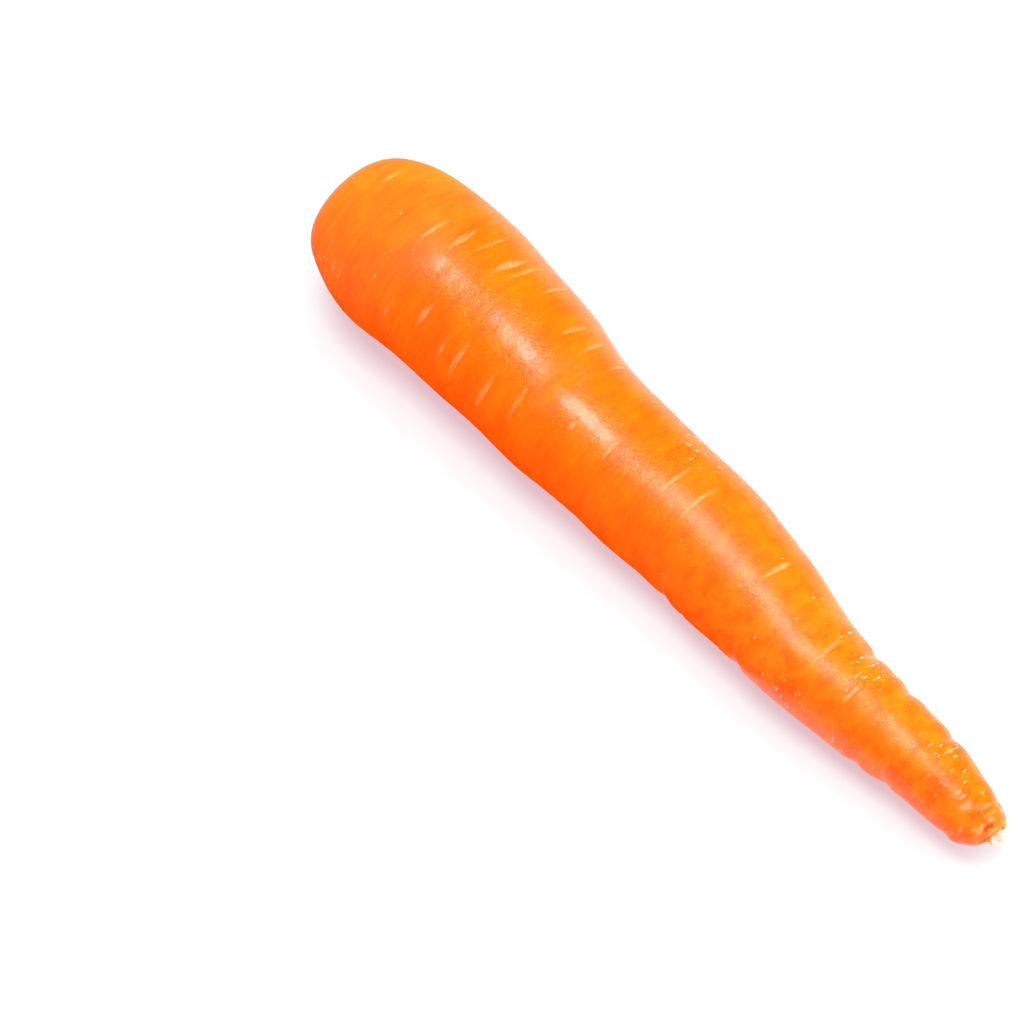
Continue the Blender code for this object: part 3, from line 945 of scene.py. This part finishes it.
def math_node(tree, operation, first, second=None, third=None):
    """A Math node. Its inputs are numbers or other nodes' outputs."""
    node = tree.nodes.new("ShaderNodeMath")
    node.operation = operation
    for index, value in enumerate((first, second, third)):
        if value is None:
            continue
        if isinstance(value, bpy.types.NodeSocket):
            tree.links.new(value, node.inputs[index])
        else:
            node.inputs[index].default_value = value
    return node.outputs[0]


def map_range(tree, value, low, high, to_low=0.0, to_high=1.0):
    """Stretch a number from one range to another with soft ends."""
    node = tree.nodes.new("ShaderNodeMapRange")
    node.interpolation_type = "SMOOTHSTEP"
    tree.links.new(value, node.inputs["Value"])
    for name, number in (("From Min", low), ("From Max", high), ("To Min", to_low), ("To Max", to_high)):
        if isinstance(number, bpy.types.NodeSocket):
            tree.links.new(number, node.inputs[name])
        else:
            node.inputs[name].default_value = number
    return node.outputs["Result"]


def squeezed_space(tree, inputs):
    """Coordinates in cells of the given size, longer round the root than along it."""
    along_cells = math_node(tree, "DIVIDE", 1.0, math_node(tree, "MULTIPLY", inputs["Size mm"], MM))
    round_cells = math_node(tree, "DIVIDE", along_cells, inputs["Stretch"])
    scale = tree.nodes.new("ShaderNodeCombineXYZ")
    for name, cells in (("X", along_cells), ("Y", round_cells), ("Z", round_cells)):
        tree.links.new(cells, scale.inputs[name])
    stretch = tree.nodes.new("ShaderNodeVectorMath")
    stretch.operation = "MULTIPLY"
    tree.links.new(inputs["Vector"], stretch.inputs[0])
    tree.links.new(scale.outputs["Vector"], stretch.inputs[1])
    return stretch.outputs["Vector"]


PATTERN_INPUTS = (
    ("Vector", "NodeSocketVector", None),
    ("Size mm", "NodeSocketFloat", 2.0),
    ("Stretch", "NodeSocketFloat", 1.0),
)


def make_streaks():
    """Soft streaks or blotches, from 0 to 1."""
    group, start, end = new_group(
        "soft streaks",
        (*PATTERN_INPUTS, ("Contrast", "NodeSocketFloat", 1.0), ("Detail", "NodeSocketFloat", 3.0)),
        (("Mask", "NodeSocketFloat"),),
    )
    noise = group.nodes.new("ShaderNodeTexNoise")
    noise.inputs["Scale"].default_value = 1.0
    group.links.new(start.outputs["Detail"], noise.inputs["Detail"])
    group.links.new(squeezed_space(group, start.outputs), noise.inputs["Vector"])
    spread = math_node(group, "DIVIDE", 0.28, start.outputs["Contrast"])
    low = math_node(group, "SUBTRACT", 0.5, spread)
    high = math_node(group, "ADD", 0.5, spread)
    mask = map_range(group, noise.outputs["Fac"], low, high)
    group.links.new(mask, end.inputs["Mask"])
    return group


def make_specks():
    """Small separate specks of uneven size, from 0 to 1. Share is how many cells have one."""
    group, start, end = new_group(
        "specks",
        (*PATTERN_INPUTS, ("Share", "NodeSocketFloat", 0.3), ("Radius", "NodeSocketFloat", 0.25)),
        (("Mask", "NodeSocketFloat"),),
    )
    cells = group.nodes.new("ShaderNodeTexVoronoi")
    cells.inputs["Scale"].default_value = 1.0
    group.links.new(squeezed_space(group, start.outputs), cells.inputs["Vector"])
    draw = group.nodes.new("ShaderNodeSeparateColor")
    group.links.new(cells.outputs["Color"], draw.inputs["Color"])
    uneven = map_range(group, draw.outputs["Green"], 0.0, 1.0, 0.4, 1.0)
    size = math_node(group, "MULTIPLY", start.outputs["Radius"], uneven)
    inner = math_node(group, "MULTIPLY", size, 0.45)
    mask = map_range(group, cells.outputs["Distance"], inner, size, 1.0, 0.0)
    chosen = math_node(group, "LESS_THAN", draw.outputs["Red"], start.outputs["Share"])
    group.links.new(math_node(group, "MULTIPLY", mask, chosen), end.inputs["Mask"])
    return group


STREAKS = make_streaks()
SPECKS = make_specks()
print("pattern groups:", STREAKS.name, "and", SPECKS.name)


# %% Helpers for the materials
def new_material(name):
    """A material with its tree, its Principled shader and the object's own coordinates."""
    material = bpy.data.materials.new(name)
    material.use_nodes = True
    tree = material.node_tree
    place = tree.nodes.new("ShaderNodeTexCoord").outputs["Object"]
    return material, tree, tree.nodes["Principled BSDF"], place


def pattern(tree, group, place, **values):
    """Place a pattern group in a material with its own values, and return its mask."""
    node = tree.nodes.new("ShaderNodeGroup")
    node.node_tree = group
    tree.links.new(place, node.inputs["Vector"])
    for name, value in values.items():
        node.inputs[name.replace("_", " ")].default_value = value
    return node.outputs["Mask"]


def stored(tree, name):
    """Read a number that a piece keeps for each of its points."""
    node = tree.nodes.new("ShaderNodeAttribute")
    node.attribute_name = name
    return node.outputs["Fac"]


def mixed(tree, amount, first, second):
    """Mix two colours. Each is a colour or another node's output."""
    node = tree.nodes.new("ShaderNodeMix")
    node.data_type = "RGBA"
    for socket, value in ((node.inputs[0], amount), (node.inputs[6], first), (node.inputs[7], second)):
        if isinstance(value, bpy.types.NodeSocket):
            tree.links.new(value, socket)
        elif isinstance(value, tuple):
            socket.default_value = (*value, 1.0)
        else:
            socket.default_value = value
    return node.outputs[2]


def bump(tree, height, strength, distance):
    """Turn a height into a normal."""
    node = tree.nodes.new("ShaderNodeBump")
    node.inputs["Strength"].default_value = strength
    node.inputs["Distance"].default_value = distance
    tree.links.new(height, node.inputs["Height"])
    return node.outputs["Normal"]


# %% [markdown]
# ## Carrot skin
#
# Carrot skin is thin, moist and a little see-through. Light goes in and comes out redder, so the side in
# shade is a deep orange, not brown: that is subsurface scattering. The colour wanders between orange and
# gold, with fine rings, pale scars, and small pale specks: partly dry skin where it was rubbed, partly a
# painted highlight of small glints. An image of skin would repeat and would hold still shadows. These nodes
# don't.

# %% Mix the skin's colour
DEEP_ORANGE = (0.96, 0.088, 0.0004)
GOLD_ORANGE = (0.98, 0.144, 0.0005)
TIP_GOLD = (0.98, 0.185, 0.003)
WRINKLE_GOLD = (0.98, 0.17, 0.01)
SCAR_LINE = (1.0, 0.30, 0.11)
SCAR_INSIDE = (1.0, 0.27, 0.13)
FOLD_PALE = (1.0, 0.30, 0.17)
SPECK_PALE_AND_GLINT = (1.0, 0.48, 0.31)
SCUFF_PALE = (1.0, 0.55, 0.45)
HOLLOW_BROWN = (0.16, 0.075, 0.03)
RIM_DRY = (0.80, 0.36, 0.15)
BOSS_FLESH = (0.86, 0.27, 0.07)
BOSS_STREAK = (0.92, 0.50, 0.28)
BROKEN_FLESH = (0.97, 0.25, 0.05)
TORN_PALE = (1.0, 0.42, 0.24)
# Painted shade for the slit at the tip and the inside of the tear.
SLIT_SHADE = (0.55, 0.06, 0.004)

skin, tree, shader, place = new_material("carrot_skin")
patches = pattern(tree, STREAKS, place, Size_mm=9.0, Stretch=1.4, Contrast=1.2)
rings = pattern(tree, STREAKS, place, Size_mm=1.1, Stretch=9.0, Contrast=1.2)
blotches = pattern(tree, STREAKS, place, Size_mm=3.6, Stretch=1.2, Contrast=1.8)
tone = math_node(tree, "MULTIPLY_ADD", patches, 0.55, math_node(tree, "MULTIPLY", rings, 0.45))
colour = mixed(tree, tone, DEEP_ORANGE, GOLD_ORANGE)
toward_tip = map_range(tree, stored(tree, "along"), 0.45, 0.75, 0.1, 0.7)
colour = mixed(tree, math_node(tree, "MULTIPLY", toward_tip, blotches), colour, TIP_GOLD)
wrinkles = pattern(tree, SPECKS, place, Size_mm=2.2, Stretch=5.5, Share=0.22, Radius=0.2)
colour = mixed(tree, math_node(tree, "MULTIPLY", wrinkles, 0.5), colour, WRINKLE_GOLD)
# Pale specks: partly dry skin, partly painted glints.
specks = pattern(tree, SPECKS, place, Size_mm=1.7, Stretch=1.8, Share=0.35, Radius=0.14)
colour = mixed(tree, math_node(tree, "MULTIPLY", specks, 0.6), colour, SPECK_PALE_AND_GLINT)
dashes = pattern(tree, SPECKS, place, Size_mm=0.7, Stretch=3.4, Share=0.55, Radius=0.38)
scuffs = math_node(tree, "MULTIPLY", dashes, stored(tree, "scuff"))
colour = mixed(tree, scuffs, colour, SCUFF_PALE)
marks = math_node(tree, "MAXIMUM", math_node(tree, "MULTIPLY", specks, 0.5), scuffs)
fraying = pattern(tree, STREAKS, place, Size_mm=0.7, Stretch=1.6, Contrast=1.6)
frayed = map_range(tree, fraying, 0.0, 1.0, 0.35, 1.0)
flesh_streaks = pattern(tree, STREAKS, place, Size_mm=2.6, Stretch=0.16, Contrast=1.6)
for mask, tint in (
    (math_node(tree, "MULTIPLY", stored(tree, "scar"), frayed), SCAR_LINE),
    (math_node(tree, "MULTIPLY", stored(tree, "scar_open"), frayed), SCAR_INSIDE),
    (math_node(tree, "MULTIPLY", stored(tree, "fold"), 0.5), FOLD_PALE),
    (stored(tree, "crown_cut"), HOLLOW_BROWN),
    (stored(tree, "boss"), mixed(tree, flesh_streaks, BOSS_FLESH, BOSS_STREAK)),
    (stored(tree, "rim"), RIM_DRY),
    (stored(tree, "broken"), BROKEN_FLESH),
    (math_node(tree, "MULTIPLY", stored(tree, "torn"), frayed), TORN_PALE),
    (stored(tree, "slit"), SLIT_SHADE),
):
    colour = mixed(tree, mask, colour, tint)
tree.links.new(colour, shader.inputs["Base Color"])
print("skin colour has", len(tree.nodes), "nodes")

# %% [markdown]
# ## Shine of the skin
#
# The shine is a soft streak that is a little duller toward the tip, dull round the crown, and bright where
# water stands. A thin coat makes the water, heavier in small specks so that it glitters. The skin's fine
# crinkle is a bump of a few hundredths of a millimetre. A deeper one would look like leather.

# %% Set the skin's shine and grain
SKIN_ROUGH = 0.285
TIP_ROUGH = 0.34
MATT_ROUGH = 0.90
DRY_ROUGH = 0.6
WATER_ROUGH = 0.12
RELIEF_HEIGHT = 0.04
SKIN_DEPTH = 20.0

crinkle = pattern(tree, STREAKS, place, Size_mm=0.6, Stretch=1.7, Contrast=0.8, Detail=0.0)
grain = pattern(tree, STREAKS, place, Size_mm=0.36, Stretch=1.2, Contrast=1.0, Detail=0.0)
glints = pattern(tree, SPECKS, place, Size_mm=0.6, Stretch=1.3, Share=0.7, Radius=0.55)
rubbed = pattern(tree, STREAKS, place, Size_mm=11.0, Stretch=1.0, Contrast=1.2)
dry = math_node(tree, "MAXIMUM", stored(tree, "scar_open"), stored(tree, "broken"))
for name in ("rim", "crown_cut"):
    dry = math_node(tree, "MAXIMUM", dry, stored(tree, name))
down = map_range(tree, stored(tree, "along"), 0.36, 0.56, 0.0, 1.0)
plain_rough = map_range(tree, down, 0.0, 1.0, SKIN_ROUGH, TIP_ROUGH)
wet = math_node(tree, "MULTIPLY", stored(tree, "wet"), map_range(tree, rubbed, 0.0, 0.6, 0.6, 1.0))
roughness = math_node(tree, "MULTIPLY_ADD", stored(tree, "matt"), MATT_ROUGH - SKIN_ROUGH, plain_rough)
roughness = math_node(tree, "MULTIPLY_ADD", dry, DRY_ROUGH - SKIN_ROUGH, roughness)
tree.links.new(roughness, shader.inputs["Roughness"])
water = math_node(tree, "MULTIPLY", wet, map_range(tree, glints, 0.0, 1.0, 0.3, 1.0))
tree.links.new(water, shader.inputs["Coat Weight"])
shader.inputs["Coat Roughness"].default_value = WATER_ROUGH
fine_height = math_node(tree, "ADD", crinkle, grain)
smoother = math_node(tree, "SUBTRACT", 1.0, math_node(tree, "MULTIPLY", down, 0.5))
fine_height = math_node(tree, "MULTIPLY", fine_height, smoother)
relief_height = math_node(tree, "MULTIPLY_ADD", marks, 1.5, fine_height)
tree.links.new(bump(tree, relief_height, 1.0, RELIEF_HEIGHT * MM), shader.inputs["Normal"])
shader.inputs["Specular IOR Level"].default_value = 0.38
shader.inputs["Subsurface Weight"].default_value = 0.9
shader.inputs["Subsurface Radius"].default_value = (1.0, 0.05, 0.02)
shader.inputs["Subsurface Scale"].default_value = SKIN_DEPTH * MM
root.data.materials.append(skin)
print("skin material has", len(tree.nodes), "nodes")

# %% [markdown]
# ## Dry stalk and pale fibre
#
# The sheaths are dry plant tissue: brown and grey outside, green where light reached them, straw-coloured
# inside, with fine fibres that run along the stalk and so stand upright in the crown. Lower down in the
# crown's hollow they darken to a painted shade. They don't shine. The bristles and the torn wisps are pale,
# thin and a little see-through.

# %% Make the dry stalk
STRAW = (0.66, 0.43, 0.17)
STRAW_PALE = (0.82, 0.64, 0.38)
STALK_BROWN = (0.32, 0.15, 0.06)
STALK_GREY = (0.48, 0.33, 0.20)
STALK_GREEN = (0.26, 0.40, 0.09)
HOLLOW_SHADE_BROWN = (0.07, 0.035, 0.015)

stalk, tree, shader, place = new_material("dry_stalk")
fibres = pattern(tree, STREAKS, place, Size_mm=1.8, Stretch=0.14, Contrast=1.8)
colour = mixed(tree, fibres, STRAW, STRAW_PALE)
brown = mixed(tree, fibres, STALK_BROWN, STALK_GREY)
colour = mixed(tree, stored(tree, "brown"), colour, brown)
green = mixed(tree, fibres, STALK_GREEN, STRAW)
colour = mixed(tree, stored(tree, "green"), colour, green)
# Painted shade: the stalk darkens towards the bottom of the crown's hollow.
colour = mixed(tree, math_node(tree, "MULTIPLY", stored(tree, "deep"), 0.8), colour, HOLLOW_SHADE_BROWN)
tree.links.new(colour, shader.inputs["Base Color"])
tree.links.new(map_range(tree, fibres, 0.0, 1.0, 0.62, 0.85), shader.inputs["Roughness"])
tree.links.new(bump(tree, fibres, 0.6, 0.15 * MM), shader.inputs["Normal"])
for piece in (sheaths, strands):
    piece.data.materials.append(stalk)

# %% Make the pale fibre
FIBRE_PALE = (0.86, 0.74, 0.52)
FIBRE_TAN = (0.62, 0.46, 0.28)
WISP_PALE = (1.0, 0.92, 0.82)
WISP_ORANGE = (0.98, 0.66, 0.42)


def make_fibre_material(name, first, second):
    """A pale, thin, slightly see-through fibre between two colours."""
    material, tree, shader, place = new_material(name)
    fibres = pattern(tree, STREAKS, place, Size_mm=0.7, Stretch=1.0, Contrast=1.5)
    tree.links.new(mixed(tree, fibres, first, second), shader.inputs["Base Color"])
    tree.links.new(map_range(tree, fibres, 0.0, 1.0, 0.45, 0.7), shader.inputs["Roughness"])
    shader.inputs["Subsurface Weight"].default_value = 0.3
    shader.inputs["Subsurface Scale"].default_value = 0.4 * MM
    return material


bristles.data.materials.append(make_fibre_material("crown_fibre", FIBRE_PALE, FIBRE_TAN))
wisps.data.materials.append(make_fibre_material("torn_fibre", WISP_PALE, WISP_ORANGE))
print("materials:", [material.name for material in bpy.data.materials])

# %% [markdown]
# ## Floor and light
#
# In a shop's catalogue a carrot lies on white, under big soft lights. A white floor in full light would
# leave a grey shadow. This one has a dull colour and a faint pink glow of its own, so that it is white in
# the light and pale pink in the shadow. It is laid as two sheets in one plane. The skin mirrors only the
# far one, which gives it the pale edge where it is seen at a glancing angle.

# %% Lay the floor
FLOOR_SIZE = 8.0
FLOOR_COLOUR = (0.197, 0.306, 0.268, 1.0)
FLOOR_GLOW = 0.625
GLOW_PINK = (1.0, 0.675, 0.795, 1.0)
FLOOR_LEVEL = -0.0002
NEAR_SHEET_START = -0.098
NEAR_SHEET_END = 0.02
SHEET_SLANT = 0.9


def floor_sheet(name, corners, mirrored):
    """A flat sheet of the floor. The skin shows it in its shine only if it is mirrored."""
    mesh = bpy.data.meshes.new(name)
    mesh.from_pydata([(x, y, FLOOR_LEVEL) for x, y in corners], [], [list(range(len(corners)))])
    sheet = put_in_scene(name, mesh)
    sheet.visible_glossy = mirrored
    return sheet


def glowing_material(name, colour, specular, glow_colour, glow):
    """A dull material of one colour that also glows a little."""
    material = bpy.data.materials.new(name)
    material.use_nodes = True
    shader = material.node_tree.nodes["Principled BSDF"]
    shader.inputs["Base Color"].default_value = colour
    shader.inputs["Roughness"].default_value = 0.9
    shader.inputs["Specular IOR Level"].default_value = specular
    shader.inputs["Emission Color"].default_value = glow_colour
    shader.inputs["Emission Strength"].default_value = glow
    return material


floor_material = glowing_material("floor_white", FLOOR_COLOUR, 0.1, GLOW_PINK, FLOOR_GLOW)
half = 0.5 * FLOOR_SIZE
sheet_edge = (
    (NEAR_SHEET_START, 0.0), (NEAR_SHEET_START - SHEET_SLANT * half, -half),
    (NEAR_SHEET_END + SHEET_SLANT * half, -half), (NEAR_SHEET_END, 0.0),
)
near_sheet = floor_sheet("floor_near", sheet_edge, False)
far_sheet = floor_sheet(
    "floor_far",
    (*sheet_edge[2:], *sheet_edge[:2], (-half, -half), (-half, half), (half, half), (half, -half)),
    True,
)
for sheet in (near_sheet, far_sheet):
    sheet.data.materials.append(floor_material)
print("floor sheets:", near_sheet.name, "and", far_sheet.name)

# %% [markdown]
# ## Warm card
#
# A carrot in a heap has its lower edge lit by its orange neighbours. Here it lies alone, and that edge
# would mirror a dark room and turn brown. More carrots would be the honest cause, but only one is wanted.
# So an orange card lies over the near sheet, and nothing but the skin's shine shows it.

# %% Lay the orange card
CARD_BLACK = (0.0, 0.0, 0.0, 1.0)
CARD_ORANGE = (1.0, 0.07, 0.0, 1.0)
CARD_GLOW = 1.0

card = floor_sheet("orange_card", sheet_edge, True)
card.visible_camera = False
card.visible_diffuse = False
card.visible_shadow = False
card.visible_transmission = False
card.data.materials.append(glowing_material("card_orange", CARD_BLACK, 0.0, CARD_ORANGE, CARD_GLOW))
print("card's glow", CARD_GLOW)

# %% [markdown]
# ## Lights
#
# A very broad sun stands for a bright sky: its shadow is as soft as a cloudy day's. The lilac-white
# surroundings fill what it leaves dark. The skin mirrors neither, so its colour stays deep. One soft panel
# overhead draws the streak of shine down the root. Area lights alone could do it all, but the floor would
# be brighter in the middle than at its edges.

# %% Hang the lights
WORLD_LILAC_WHITE = (0.96, 0.93, 1.0, 1.0)
WORLD_STRENGTH = 0.54
SKY_STRENGTH = 5.05
SKY_ANGLE = math.radians(100.0)
SKY_PLACE = (0.1, 0.46, 1.0)
PANEL_PLACE = (-0.03, -0.085, 0.78)
PANEL_SIZE = (0.38, 0.26)
PANEL_TURN = math.radians(9.0)
PANEL_STRENGTH = 4.4


def aimed(piece, place, target):
    """Stand a piece in a place and turn it to its target."""
    piece.location = place
    piece.rotation_euler = (Vector(target) - Vector(place)).to_track_quat("-Z", "Y").to_euler()


def new_light(name, kind, strength, mirrored):
    """A light in the scene. The skin shows it as a shine only if it is mirrored."""
    light = bpy.data.lights.new(name, kind)
    light.energy = strength
    piece = put_in_scene(name, light)
    piece.visible_glossy = mirrored
    return piece


def soft_panel(name, place, size, turn, strength):
    """A soft light that points at the root. Its size is along the root and across it, before the turn."""
    panel = new_light(name, "AREA", strength, True)
    panel.data.shape = "RECTANGLE"
    panel.data.size, panel.data.size_y = size
    panel.location = place
    back_axis = (Vector(place) - middle).normalized()
    heading = Vector((math.cos(turn), math.sin(turn), 0.0))
    long_axis = (heading - back_axis * heading.dot(back_axis)).normalized()
    axes = Matrix((long_axis, back_axis.cross(long_axis), back_axis)).transposed()
    panel.rotation_euler = axes.to_euler()


world = bpy.data.worlds.new("white surroundings")
world.use_nodes = True
world.node_tree.nodes["Background"].inputs["Color"].default_value = WORLD_LILAC_WHITE
world.node_tree.nodes["Background"].inputs["Strength"].default_value = WORLD_STRENGTH
world.cycles_visibility.glossy = False
bpy.context.scene.world = world
bpy.context.scene.view_settings.view_transform = "Standard"

broad = new_light("broad light", "SUN", SKY_STRENGTH, False)
broad.data.angle = SKY_ANGLE
aimed(broad, SKY_PLACE, middle)
soft_panel("streak panel", PANEL_PLACE, PANEL_SIZE, PANEL_TURN, PANEL_STRENGTH)
print("lights:", [light.name for light in bpy.data.lights])

# %% [markdown]
# ## The solid's size
#
# The fine pieces may stand only a little proud of the solid. The solid's box is printed.

# %% Print the solid's box
print("solid ", [round(v / MM, 1) for v in (*cad_low, *cad_high)])
